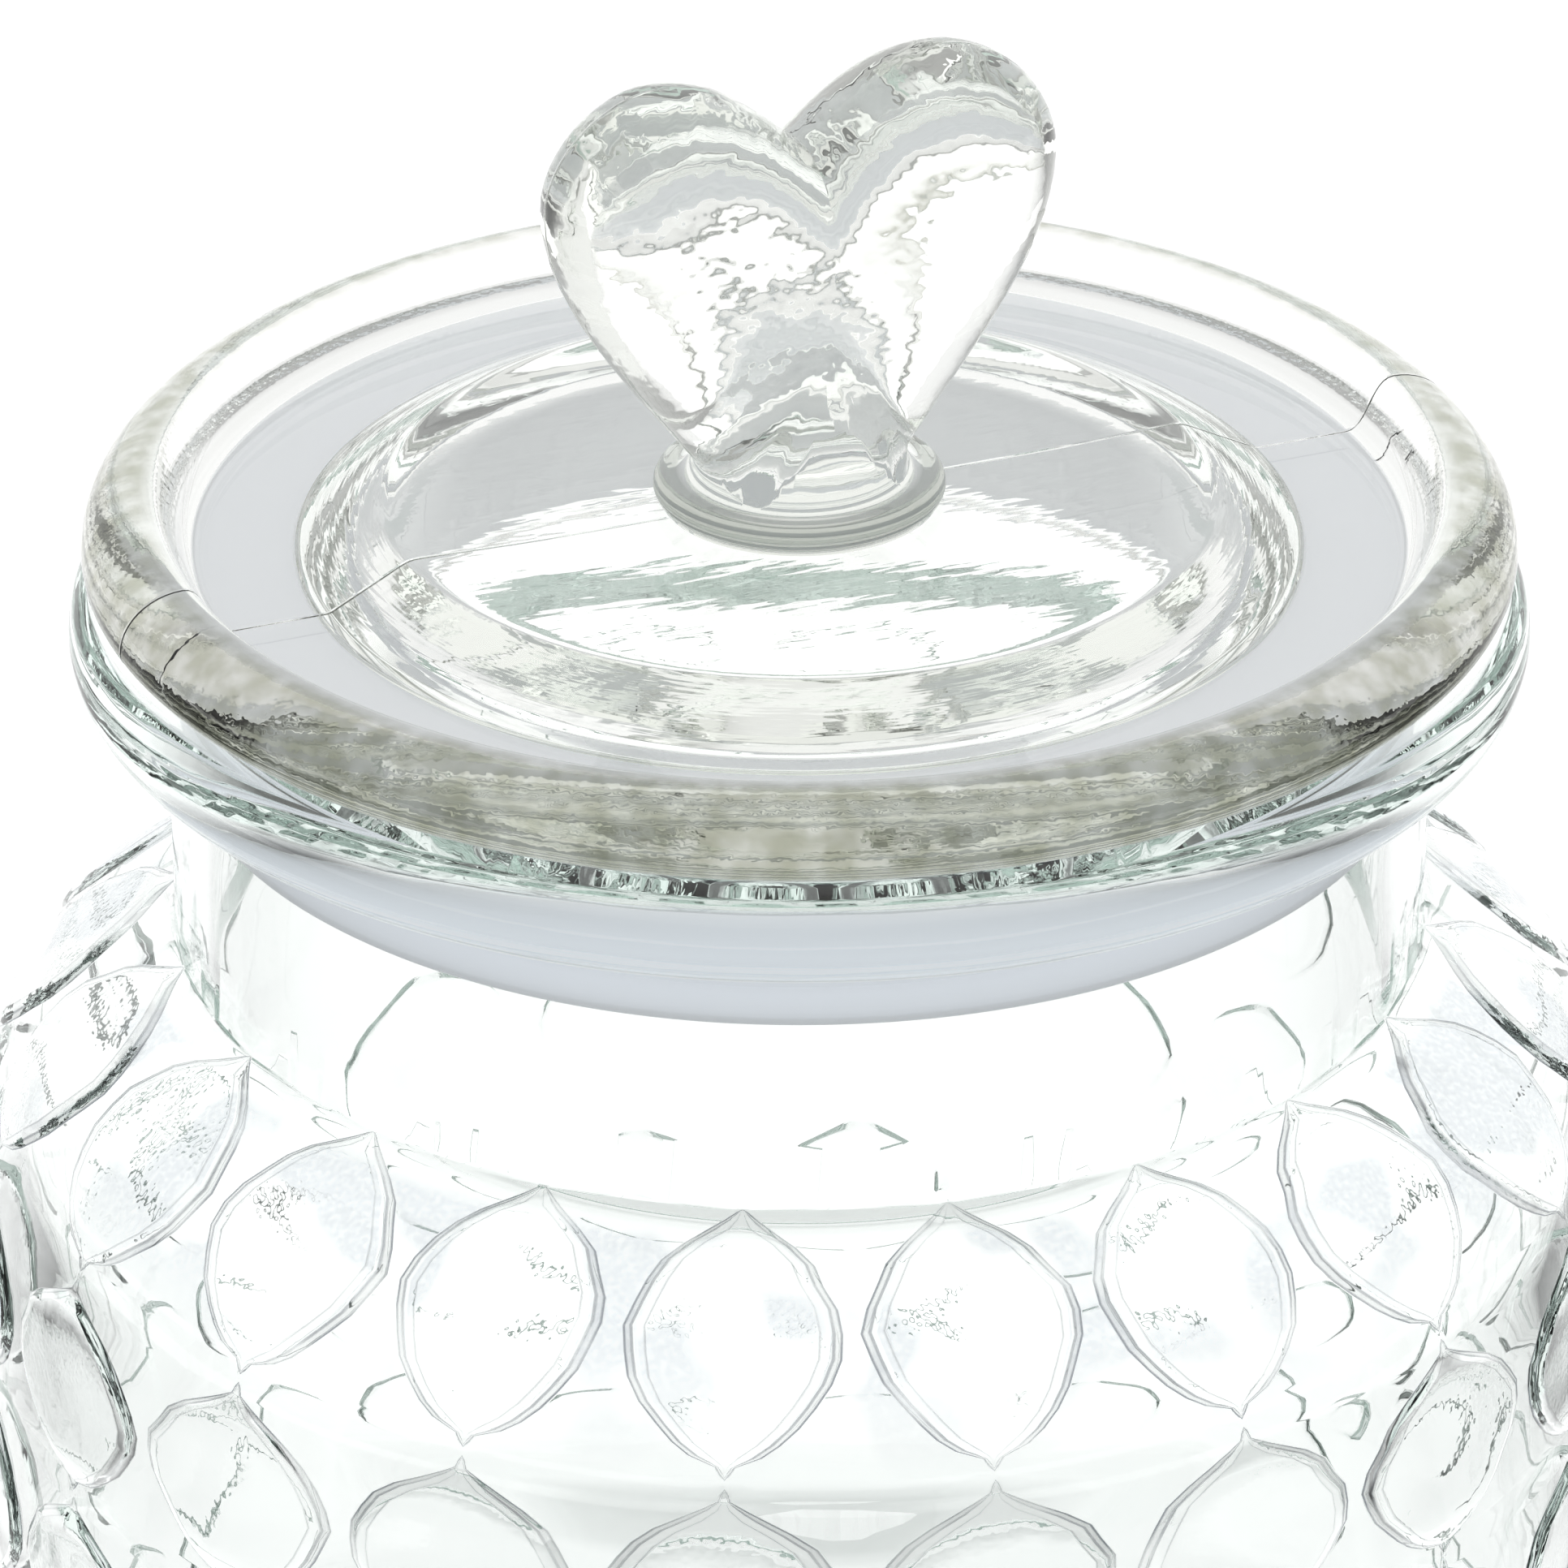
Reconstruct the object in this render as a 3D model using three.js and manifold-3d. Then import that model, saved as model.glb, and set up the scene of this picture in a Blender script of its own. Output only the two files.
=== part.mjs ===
// Pressed-glass storage jar: a leaf-moulded body, a glass lid with a heart knob, and the lid's soft seal ring.
// Millimetres, +Z up. The jar stands on z = 0 with its axis on Z, and the heart lies in the XZ plane.
import * as THREE from 'three';
import { mergeVertices } from 'three/addons/utils/BufferGeometryUtils.js';
import Module from 'manifold-3d';

const wasm = await Module();
wasm.setup();

// Jar body
const bodyHeight = 124;
const bodyRadius = 61.4;
const bodyWall = 3.6;
const floorThickness = 6;
const floorFillet = 8;
const heelRadius = 10;
const footWidth = 5;
const pushUp = 2.5;
const shoulderDrop = 20;
const shoulderPitch = THREE.MathUtils.degToRad(31);
const shoulderReach = 9.5;
const shoulderLift = 10;
const neckRadius = 46;
const neckWall = 3;
const neckHeight = 20.8;
const rimRadius = 53.1;
const rimHeight = 6.2;
const rimRound = 2.8;
const lipRound = 1;

// Leaf panels moulded round the body, in rows of upright columns
const leafColumns = 20;
const leafRows = 5;
const shoulderLeaf = 19.4;
const leafGap = 2.6;
const rowGap = 2.2;
const leafRise = 0.6;
const leafBevel = 1;
const tipBevel = 1.7;
const leafFullness = 0.9;
const leafSteps = 4;

// Seal ring: a flange under the lid, a sleeve on the lid's plug and fins that wipe the neck
const clearance = 0.3;
const sealWall = 1.5;
const finCount = 3;
const finPitch = 4.4;
const finRoot = 1.2;
const finTip = 0.6;
const finLean = 0.8;
const sealFlange = 0.8;
const sealRadius = 46.5;
const sealDepth = 14.6;

// Lid, with z = 0 on the underside of its edge
const lidRadius = 52;
const lidEdge = 6;
const edgeLevel = 1.8;
const edgeUnder = 2.5;
const crestRadius = 47.2;
const channelOuter = 43.4;
const channelInner = 36.2;
const channelLevel = 2.1;
const discRadius = 30;
const discLevel = 5.2;
const discDish = 0.3;
const plugRadius = 36;
const plugDepth = 16.5;
const plugWall = 3.6;
const plugRound = 0.9;
const hollowRadius = 29.8;
const hollowLevel = -3.2;
const hollowRound = 1.6;

// Heart knob, on a short collar in the middle of the lid
const collarRadius = 10.6;
const collarHeight = 2.2;
const stemRadius = 7.8;
const stemRise = 3.2;
const heartWidth = 39.8;
const heartRise = 35;
const heartNotch = 5.5;
const heartThickness = 14;
const heartRound = 5.5;
const lobeCentre = 10.6;
const lobeLevel = 26.4;

// Steps round the axis and along the curves
const fineSteps = 4 * leafColumns;
const lidSteps = 48;
const arcSteps = 3;

// Levels and radii that follow from the sizes above
const boreRadius = neckRadius - neckWall;
const neckFoot = bodyHeight - rimHeight - neckHeight;
const shoulderFoot = neckFoot - shoulderDrop;
const sealLevel = bodyHeight + clearance;
const lidLevel = sealLevel + sealFlange + clearance;
const finRadius = boreRadius - clearance;
const sealBore = plugRadius + clearance;
const sealOuter = sealBore + sealWall;
const discCentre = discLevel - discDish;

// A closed skin built point by point round the axis
class Skin {
  positions = [];
  faces = [];

  point(angle, radius, height) {
    this.positions.push(radius * Math.cos(angle), radius * Math.sin(angle), height);
    return this.positions.length / 3 - 1;
  }

  ring(steps, radius, height) {
    return Array.from({ length: steps }, (_, i) => this.point((2 * Math.PI * i) / steps, radius, height));
  }

  quad(a, b, c, d) {
    this.faces.push(a, b, c, a, c, d);
  }

  // Joins two rings of the same number of points
  band(first, second) {
    first.forEach((point, i) => {
      const next = (i + 1) % first.length;
      this.quad(point, second[i], second[next], first[next]);
    });
  }

  // Joins a ring to one with half or twice as many points
  weave(first, second) {
    const narrowing = first.length > second.length;
    const [fine, coarse] = narrowing ? [first, second] : [second, first];
    coarse.forEach((point, i) => {
      const before = fine[2 * i];
      const middle = fine[2 * i + 1];
      const after = fine[(2 * i + 2) % fine.length];
      const next = coarse[(i + 1) % coarse.length];
      const fans = [[before, point, middle], [middle, point, next], [middle, next, after]];
      fans.forEach(([a, b, c]) => this.faces.push(...(narrowing ? [a, b, c] : [a, c, b])));
    });
  }

  // Closes a ring with a fan to a point on the axis, before the ring or after it along the skin
  fan(ring, height, before) {
    const pole = this.point(0, 0, height);
    ring.forEach((point, i) => {
      const next = ring[(i + 1) % ring.length];
      this.faces.push(pole, ...(before ? [point, next] : [next, point]));
    });
  }

  geometry() {
    const shape = new THREE.BufferGeometry();
    shape.setAttribute('position', new THREE.Float32BufferAttribute(this.positions, 3));
    shape.setIndex(this.faces);
    shape.computeVertexNormals();
    return shape;
  }
}

// The wall's outside section from the neck's foot over the shoulder to the heel
function wallSection() {
  const path = new THREE.Path();
  path.moveTo(neckRadius, neckFoot);
  path.bezierCurveTo(
    neckRadius + shoulderReach * Math.cos(shoulderPitch),
    neckFoot - shoulderReach * Math.sin(shoulderPitch),
    bodyRadius,
    shoulderFoot + shoulderLift,
    bodyRadius,
    shoulderFoot,
  );
  path.lineTo(bodyRadius, heelRadius);
  return path;
}

// The inside section from the floor up to the neck's bore
function insideSection() {
  const floor = pushUp + floorThickness;
  const radius = bodyRadius - bodyWall;
  const neckInside = neckFoot - bodyWall;
  const path = new THREE.Path();
  path.moveTo(radius - floorFillet, floor);
  path.absarc(radius - floorFillet, floor + floorFillet, floorFillet, -Math.PI / 2, 0, false);
  path.lineTo(radius, shoulderFoot);
  path.bezierCurveTo(
    radius,
    shoulderFoot + shoulderLift,
    boreRadius + shoulderReach * Math.cos(shoulderPitch),
    neckInside - shoulderReach * Math.sin(shoulderPitch),
    boreRadius,
    neckInside,
  );
  return path.getPoints(2 * arcSteps);
}

// The rim's section from the bore over the lip and down the outside of the neck
function rimSection() {
  const path = new THREE.Path();
  const edge = rimRadius - rimRound;
  const middle = bodyHeight - rimHeight / 2;
  path.moveTo(boreRadius, bodyHeight - lipRound);
  path.absarc(boreRadius + lipRound, bodyHeight - lipRound, lipRound, Math.PI, Math.PI / 2, true);
  path.lineTo(edge, bodyHeight);
  path.absellipse(edge, middle, rimRound, rimHeight / 2, Math.PI / 2, -Math.PI / 2, true);
  path.lineTo(neckRadius, bodyHeight - rimHeight);
  return path.getPoints(arcSteps);
}

// The heel, the foot ring that the jar stands on and the pushed-up base
function footSection() {
  const footOuter = bodyRadius - heelRadius;
  const footInner = footOuter - footWidth;
  const path = new THREE.Path();
  path.moveTo(bodyRadius, heelRadius);
  path.absarc(footOuter, heelRadius, heelRadius, 0, -Math.PI / 2, true);
  path.lineTo(footInner, 0);
  path.quadraticCurveTo(footInner - 2 * pushUp, pushUp, footInner - 4 * pushUp, pushUp);
  return path.getPoints(arcSteps).slice(1);
}

// One row of leaves: raised panels with bevelled edges, drawn on the wall between two arc lengths
function leafRow(skin, wall, start, length) {
  const pitch = (2 * Math.PI) / leafColumns;
  const total = wall.getLength();
  const place = (angle, along, lift) => {
    const spot = wall.getPoint(along / total);
    const way = wall.getTangent(along / total);
    return skin.point(angle, spot.x - way.y * lift, spot.y + way.x * lift);
  };
  const radiusAt = (along) => wall.getPoint(along / total).x;
  const widest = pitch / 2 - leafGap / 2 / radiusAt(start + length / 2);
  const levels = Array.from({ length: leafSteps + 1 }, (_, i) => start + (length * i) / leafSteps);
  const halfAngle = (i) => widest * Math.sin((Math.PI * i) / leafSteps) ** leafFullness;

  const columns = Array.from({ length: leafColumns }, (_, k) => {
    const axis = (k + 0.5) * pitch;
    const side = (turn, inset, lift) => levels.slice(1, -1).map((along, i) => {
      const angle = halfAngle(i + 1) - inset / radiusAt(along);
      return place(axis + turn * angle, along, lift);
    });
    return {
      edge: levels.map((along) => place(k * pitch, along, 0)),
      tips: [place(axis, start, 0), place(axis, start + length, 0)],
      crowns: [place(axis, start + tipBevel, leafRise), place(axis, start + length - tipBevel, leafRise)],
      ridge: levels.slice(1, -1).map((along) => place(axis, along, leafRise)),
      feet: [side(-1, 0, 0), side(1, 0, 0)],
      rims: [side(-1, leafBevel, leafRise), side(1, leafBevel, leafRise)],
    };
  });

  columns.forEach((leaf, k) => {
    const far = columns[(k + 1) % leafColumns].edge;
    const capped = (line, ends) => [ends[0], ...line, ends[1]];
    const [leftFoot, rightFoot] = leaf.feet.map((line) => capped(line, leaf.tips));
    const [leftRim, rightRim] = leaf.rims.map((line) => capped(line, leaf.crowns));
    const ridge = capped(leaf.ridge, leaf.crowns);
    const lines = [leaf.edge, leftFoot, leftRim, ridge, rightRim, rightFoot, far];
    for (let j = 1; j < lines.length; j += 1) {
      for (let i = 0; i < leafSteps; i += 1) {
        skin.quad(lines[j - 1][i], lines[j - 1][i + 1], lines[j][i + 1], lines[j][i]);
      }
    }
  });
  return {
    top: columns.flatMap((leaf) => [leaf.edge[0], leaf.tips[0]]),
    bottom: columns.flatMap((leaf) => [leaf.edge[leafSteps], leaf.tips[1]]),
  };
}

function jarBody() {
  const skin = new Skin();
  const coarseSteps = 2 * leafColumns;
  const rings = (points, steps) => points.map((spot) => skin.ring(steps, spot.x, spot.y));
  const chain = (list) => list.slice(1).forEach((ring, i) => skin.band(list[i], ring));

  const inside = rings(insideSection(), coarseSteps);
  const rim = rings(rimSection(), fineSteps);
  skin.fan(inside[0], pushUp + floorThickness, true);
  chain(inside);
  skin.weave(inside.at(-1), rim[0]);
  chain(rim);

  const wall = wallSection();
  const rest = wall.getLength() - shoulderLeaf - rowGap;
  const rowPitch = rest / (leafRows - 1);
  const rows = [leafRow(skin, wall, 0, shoulderLeaf)];
  for (let i = 0; i < leafRows - 1; i += 1) {
    rows.push(leafRow(skin, wall, shoulderLeaf + rowGap + i * rowPitch, rowPitch - rowGap));
  }
  skin.weave(rim.at(-1), rows[0].top);
  rows.slice(1).forEach((row, i) => skin.band(rows[i].bottom, row.top));

  const heel = skin.ring(coarseSteps, bodyRadius, heelRadius);
  const foot = rings(footSection(), coarseSteps);
  skin.band(rows.at(-1).bottom, heel);
  chain([heel, ...foot]);
  skin.fan(foot.at(-1), pushUp, false);
  return skin.geometry();
}

// Turns a section about Z. It starts and ends on the axis, or closes on itself.
function turned(points) {
  const shape = new THREE.LatheGeometry(points, lidSteps);
  shape.rotateX(Math.PI / 2);
  return tidy(shape);
}

// Merges the shared points of a shape and drops the flat triangles at its poles
function tidy(shape) {
  const bare = new THREE.BufferGeometry();
  bare.setAttribute('position', shape.getAttribute('position'));
  bare.setIndex(shape.getIndex());
  const merged = mergeVertices(bare, 1e-4);
  const source = merged.getIndex().array;
  const kept = [];
  for (let i = 0; i < source.length; i += 3) {
    const [a, b, c] = source.slice(i, i + 3);
    if (a !== b && b !== c && c !== a) {
      kept.push(a, b, c);
    }
  }
  merged.setIndex(kept);
  merged.computeVertexNormals();
  return merged;
}

function solid(shape) {
  const vertProperties = new Float32Array(shape.getAttribute('position').array);
  const triVerts = new Uint32Array(shape.getIndex().array);
  return new wasm.Manifold(new wasm.Mesh({ numProp: 3, vertProperties, triVerts }));
}

function joined(first, second) {
  const mesh = solid(first).add(solid(second)).getMesh();
  const shape = new THREE.BufferGeometry();
  shape.setAttribute('position', new THREE.BufferAttribute(mesh.vertProperties, 3));
  shape.setIndex(new THREE.BufferAttribute(mesh.triVerts, 1));
  shape.computeVertexNormals();
  return shape;
}

// The seal's section: sleeve, top flange and fins that rise a little outwards, with z = 0 under the flange
function sealRing() {
  const points = [new THREE.Vector2(sealBore, -sealDepth)];
  for (let i = 0; i < finCount; i += 1) {
    const root = finPitch * i - sealDepth;
    points.push(new THREE.Vector2(sealOuter, root));
    points.push(new THREE.Vector2(finRadius, root + finLean));
    points.push(new THREE.Vector2(finRadius, root + finLean + finTip));
    points.push(new THREE.Vector2(sealOuter, root + finRoot));
  }
  points.push(new THREE.Vector2(sealOuter, 0));
  points.push(new THREE.Vector2(sealRadius, 0));
  points.push(new THREE.Vector2(sealRadius, sealFlange));
  points.push(new THREE.Vector2(sealBore, sealFlange));
  points.push(points[0].clone());
  return turned(points);
}

// The lid without its heart: hollow plug, rounded edge, sunk channel, raised disc, collar and stem
function lidBlank() {
  const path = new THREE.Path();
  path.moveTo(0, hollowLevel);
  path.lineTo(hollowRadius, hollowLevel);
  path.quadraticCurveTo(
    hollowRadius + hollowRound / 2,
    hollowLevel,
    hollowRadius + hollowRound / 2,
    hollowLevel - hollowRound,
  );
  path.lineTo(plugRadius - plugWall, plugRound - plugDepth);
  path.quadraticCurveTo(plugRadius - plugWall, -plugDepth, plugRadius - plugWall + plugRound, -plugDepth);
  path.lineTo(plugRadius - plugRound, -plugDepth);
  path.quadraticCurveTo(plugRadius, -plugDepth, plugRadius, plugRound - plugDepth);
  path.lineTo(plugRadius, 0);
  path.lineTo(lidRadius - edgeUnder, 0);
  path.absellipse(lidRadius - edgeUnder, edgeLevel, edgeUnder, edgeLevel, -Math.PI / 2, 0, false);
  path.absellipse(crestRadius, edgeLevel, lidRadius - crestRadius, lidEdge - edgeLevel, 0, Math.PI / 2, false);
  const innerWall = (crestRadius + channelOuter) / 2;
  path.bezierCurveTo(innerWall, lidEdge, innerWall, channelLevel, channelOuter, channelLevel);
  path.lineTo(channelInner, channelLevel);
  path.lineTo(discRadius, discLevel);
  path.quadraticCurveTo((discRadius + collarRadius) / 2, discCentre, collarRadius - collarHeight / 4, discCentre);
  const collarMiddle = discCentre + collarHeight / 2;
  const collarCore = collarRadius - collarHeight / 2;
  path.absarc(collarCore, collarMiddle, collarHeight / 2, -Math.PI / 3, Math.PI / 2, false);
  path.quadraticCurveTo(stemRadius, discCentre + collarHeight, stemRadius, discCentre + stemRise);
  path.lineTo(stemRadius, discCentre + 2 * stemRise);
  path.lineTo(0, discCentre + 2 * stemRise);
  return turned(path.getPoints(arcSteps));
}

// The heart's front outline, extruded with a deep round along its edges
function heart() {
  const half = heartWidth / 2;
  const top = discCentre + heartRise;
  const notch = top - heartNotch;
  const lobe = discCentre + lobeLevel;
  const waist = discCentre + stemRise;
  const tail = stemRadius - clearance;
  const front = new THREE.Shape();
  front.moveTo(0, notch);
  front.bezierCurveTo(lobeCentre * 0.3, notch + heartNotch / 2, lobeCentre * 0.58, top, lobeCentre, top);
  front.bezierCurveTo((lobeCentre + half) / 2, top, half, (top + lobe) / 2, half, lobe);
  front.bezierCurveTo(half, lobe - 8, (half + tail) / 2 - 2, waist + 6, tail, waist);
  front.lineTo(tail, 0);
  front.lineTo(-tail, 0);
  front.lineTo(-tail, waist);
  front.bezierCurveTo(-(half + tail) / 2 + 2, waist + 6, -half, lobe - 8, -half, lobe);
  front.bezierCurveTo(-half, (top + lobe) / 2, -(lobeCentre + half) / 2, top, -lobeCentre, top);
  front.bezierCurveTo(-lobeCentre * 0.58, top, -lobeCentre * 0.3, notch + heartNotch / 2, 0, notch);
  const flat = heartThickness - 2 * heartRound;
  const shape = new THREE.ExtrudeGeometry(front, {
    depth: flat,
    curveSegments: 7,
    bevelEnabled: true,
    bevelThickness: heartRound,
    bevelSize: heartRound,
    bevelOffset: -heartRound,
    bevelSegments: 4,
  });
  shape.translate(0, 0, -flat / 2);
  shape.rotateX(Math.PI / 2);
  return shape;
}

const clearGlass = new THREE.MeshStandardMaterial({
  color: 0xdfeae4, roughness: 0.05, metalness: 0, transparent: true, opacity: 0.35,
});
const thickGlass = new THREE.MeshStandardMaterial({
  color: 0xd3ddcf, roughness: 0.05, metalness: 0, transparent: true, opacity: 0.4,
});
const milkySeal = new THREE.MeshStandardMaterial({ color: 0xe2e6ee, roughness: 0.45, metalness: 0 });

function piece(name, shape, material, level) {
  const mesh = new THREE.Mesh(shape, material);
  mesh.name = name;
  mesh.position.z = level;
  return mesh;
}

const jar = new THREE.Group();
jar.add(piece('jar_body', jarBody(), clearGlass, 0));
jar.add(piece('seal_ring', sealRing(), milkySeal, sealLevel));
jar.add(piece('lid', joined(lidBlank(), tidy(heart())), thickGlass, lidLevel));

export default jar;
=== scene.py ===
import math

import bpy
import numpy as np
from mathutils import Matrix, Vector

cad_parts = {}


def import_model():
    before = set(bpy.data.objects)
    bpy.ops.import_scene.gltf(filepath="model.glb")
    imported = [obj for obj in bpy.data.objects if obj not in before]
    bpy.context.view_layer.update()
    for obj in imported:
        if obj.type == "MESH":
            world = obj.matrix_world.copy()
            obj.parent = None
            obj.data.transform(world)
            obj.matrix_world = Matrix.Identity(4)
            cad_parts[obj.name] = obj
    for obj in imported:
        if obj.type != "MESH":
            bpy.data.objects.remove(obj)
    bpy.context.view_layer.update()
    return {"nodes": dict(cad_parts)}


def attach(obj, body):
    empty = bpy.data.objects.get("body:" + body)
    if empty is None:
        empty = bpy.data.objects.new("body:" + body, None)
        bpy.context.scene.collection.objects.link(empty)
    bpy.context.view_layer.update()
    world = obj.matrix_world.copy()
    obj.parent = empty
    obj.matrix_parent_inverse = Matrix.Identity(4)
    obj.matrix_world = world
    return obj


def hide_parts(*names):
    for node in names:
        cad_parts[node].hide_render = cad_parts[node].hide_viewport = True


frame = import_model()
mm = 0.001
merge = 1e-6  # metres, for points that belong together
sameSpot = 1e-4  # millimetres, for points of a section that repeat
onLevel = 1e-3  # millimetres, from a point of the wall to its level
micrometre = 1e-6
print("frame loaded:", ", ".join(sorted(frame["nodes"])))


# sections are lists of (radius, height) in millimetres, walked so that the glass lies on the left

def straight(start, end, steps):
    return [(start[0] + (end[0] - start[0]) * i / steps, start[1] + (end[1] - start[1]) * i / steps)
            for i in range(steps + 1)]


def rounded(centre, width, height, fromTurn, toTurn, steps):
    turns = [math.radians(fromTurn + (toTurn - fromTurn) * i / steps) for i in range(steps + 1)]
    return [(centre[0] + width * math.cos(t), centre[1] + height * math.sin(t)) for t in turns]


def swept(a, b, c, d, steps):
    points = []
    for i in range(steps + 1):
        t = i / steps
        k = ((1 - t) ** 3, 3 * t * (1 - t) ** 2, 3 * t * t * (1 - t), t ** 3)
        points.append(tuple(sum(w * p[n] for w, p in zip(k, (a, b, c, d))) for n in (0, 1)))
    return points


# joins runs of points and leaves out those that repeat
def strung(*runs):
    points = []
    for run in runs:
        for point in run:
            if not points or math.dist(point, points[-1]) > sameSpot:
                points.append(point)
    return points


# a plane merged to one point, which is moved to its place and left in edit mode
def startPoint(name, x, z):
    bpy.ops.object.select_all(action="DESELECT")
    bpy.ops.mesh.primitive_plane_add(size=0.01, location=(0, 0, 0))
    bpy.context.object.name = name
    bpy.context.object.data.name = name
    bpy.ops.object.mode_set(mode="EDIT")
    bpy.ops.mesh.select_mode(type="VERT")
    bpy.ops.mesh.select_all(action="SELECT")
    bpy.ops.mesh.merge(type="CENTER")
    bpy.ops.mesh.select_all(action="SELECT")
    bpy.ops.transform.translate(value=(x * mm, 0, z * mm))
    return bpy.context.object


# draws a line point by point with extrude
def drawLine(points):
    for before, after in zip(points, points[1:]):
        step = ((after[0] - before[0]) * mm, 0, (after[1] - before[1]) * mm)
        bpy.ops.mesh.extrude_vertices_move(TRANSFORM_OT_translate={"value": step})


def cleanShell():
    bpy.ops.mesh.select_all(action="SELECT")
    bpy.ops.mesh.remove_doubles(threshold=merge)
    bpy.ops.mesh.normals_make_consistent(inside=False)


# spins a section round the jar's axis
def turnedPiece(name, points, steps, closed=False):
    piece = startPoint(name, *points[0])
    drawLine(points)
    bpy.ops.mesh.select_all(action="SELECT")
    if closed:
        bpy.ops.mesh.remove_doubles(threshold=merge)
    bpy.ops.mesh.spin(steps=steps, angle=2 * math.pi, center=(0, 0, 0), axis=(0, 0, 1))
    cleanShell()
    bpy.ops.object.mode_set(mode="OBJECT")
    return piece


def pointsOf(piece):
    co = np.empty(len(piece.data.vertices) * 3)
    piece.data.vertices.foreach_get("co", co)
    return co.reshape(-1, 3) / mm


def eased(value, low, high):
    t = np.clip((value - low) / (high - low), 0, 1)
    return t * t * (3 - 2 * t)


# writes a value for each point, which a material reads as a mask
def paintZone(piece, name, values):
    mask = piece.data.attributes.new(name=name, type="FLOAT", domain="POINT")
    mask.data.foreach_set("value", values)


# camera: the photograph's own angle and framing, in degrees and millimetres
view = {
    "azimuth": -22.0, "elevation": 27.6, "distance": 800.0, "lens": 253.65, "sensor": 36,
    "lookHeight": 128.4, "across": -1.117, "upward": -19.28, "farthest": 20,
}


def setCamera():
    a, e = math.radians(view["azimuth"]), math.radians(view["elevation"])
    back = Vector((math.sin(a) * math.cos(e), -math.cos(a) * math.cos(e), math.sin(e)))
    right = Vector((math.cos(a), math.sin(a), 0))
    up = back.cross(right)
    target = Vector((0, 0, view["lookHeight"])) + right * view["across"] + up * view["upward"]
    bpy.ops.object.camera_add(location=(target + back * view["distance"]) * mm)
    camera = bpy.context.object
    camera.name = "photoCamera"
    camera.rotation_euler = Matrix((right, up, back)).transposed().to_euler()
    camera.data.lens = view["lens"]
    camera.data.sensor_width = view["sensor"]
    camera.data.clip_end = view["farthest"]
    bpy.context.scene.camera = camera


setCamera()
print("camera set")


# jar body: sizes in millimetres
jar = {
    "height": 124.0, "radius": 61.4, "wall": 3.6, "floor": 6.0, "floorFillet": 8.0, "heel": 10.0,
    "footWidth": 5.0, "pushUp": 2.5, "pushRun": 4, "shoulderDrop": 20.0, "shoulderPitch": 31.0,
    "shoulderReach": 9.5, "shoulderLift": 10.0, "neckRadius": 46.0, "neckWall": 3.0, "insideRound": 5.0,
    "neckHeight": 20.8, "neckSupport": 0.3, "beadRadius": 53.1, "beadHeight": 6.2, "beadRound": 2.8,
    "beadFillet": 1.0, "lip": 1.0, "columnsPerLeaf": 18, "wallSteps": 600, "smoothAngle": 50,
}
# leaf panels: lengths in millimetres, the outline as (share of length, share of half width)
leaves = {
    "columns": 20, "rows": 5, "shoulderLength": 19.4, "gap": 1.4, "minGap": 0.35, "rowGap": 2.0,
    "levels": 16, "tip": 0.012, "tipFade": 0.14, "rise": 0.5, "crown": 0.97, "wall": 0.48,
    "wallRise": 0.28, "ramp": 1.05, "support": 0.2, "panelLines": 5,
    "wobble": 0.02, "wobbleWaves": (11, 29), "wobbleShare": 0.6, "phases": (2.4, 1.7, 0.9),
    "sides": [-2, -1, 0, 1, 2, 3, 4, 5, 6, 6.5],
    "outline": [(0, 0), (0.06, 0.2), (0.14, 0.5), (0.21, 0.71), (0.39, 0.94), (0.48, 1.0),
                (0.64, 0.92), (0.8, 0.69), (0.9, 0.46), (0.95, 0.3), (1, 0)],
}
# where the jar's surface patterns and its painted shade patches start and end, in millimetres
jarZones = {"patchTop": 1.0, "patchFull": 6.0, "patchEnd": 15.0, "hammerFade": 6.0, "hammerLow": 0.25,
            "beadFade": 0.6, "beadFrom": (46, 47)}
neckFoot = jar["height"] - jar["beadHeight"] - jar["neckHeight"]
shoulderFoot = neckFoot - jar["shoulderDrop"]
bore = jar["neckRadius"] - jar["neckWall"]
shoulderPitch = math.radians(jar["shoulderPitch"])


# a point down the shoulder's slope from the corner at its top
def downSlope(radius, level, reach):
    return radius + reach * math.cos(shoulderPitch), level - reach * math.sin(shoulderPitch)


# the outside of the wall from the neck's foot to the heel, by length along it
def wallLine():
    steps = jar["wallSteps"]
    side = (jar["radius"], shoulderFoot)
    curve = swept((jar["neckRadius"], neckFoot), downSlope(jar["neckRadius"], neckFoot, jar["shoulderReach"]),
                  (jar["radius"], shoulderFoot + jar["shoulderLift"]), side, steps)
    points = np.array(strung(curve, straight(side, (jar["radius"], jar["heel"]), steps)))
    along = np.concatenate([[0], np.cumsum(np.hypot(*np.diff(points, axis=0).T))])
    return points, along


def spotOnWall(points, along, s):
    return [float(np.interp(s, along, points[:, n])) for n in (0, 1)]


# the place at a length along the wall, and the direction that points out of the glass there
def onWall(points, along, s, probe=0.2):
    before, after = spotOnWall(points, along, s - probe), spotOnWall(points, along, s + probe)
    ahead = (after[0] - before[0], after[1] - before[1])
    length = math.hypot(*ahead)
    return spotOnWall(points, along, s), (-ahead[1] / length, ahead[0] / length)


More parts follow.
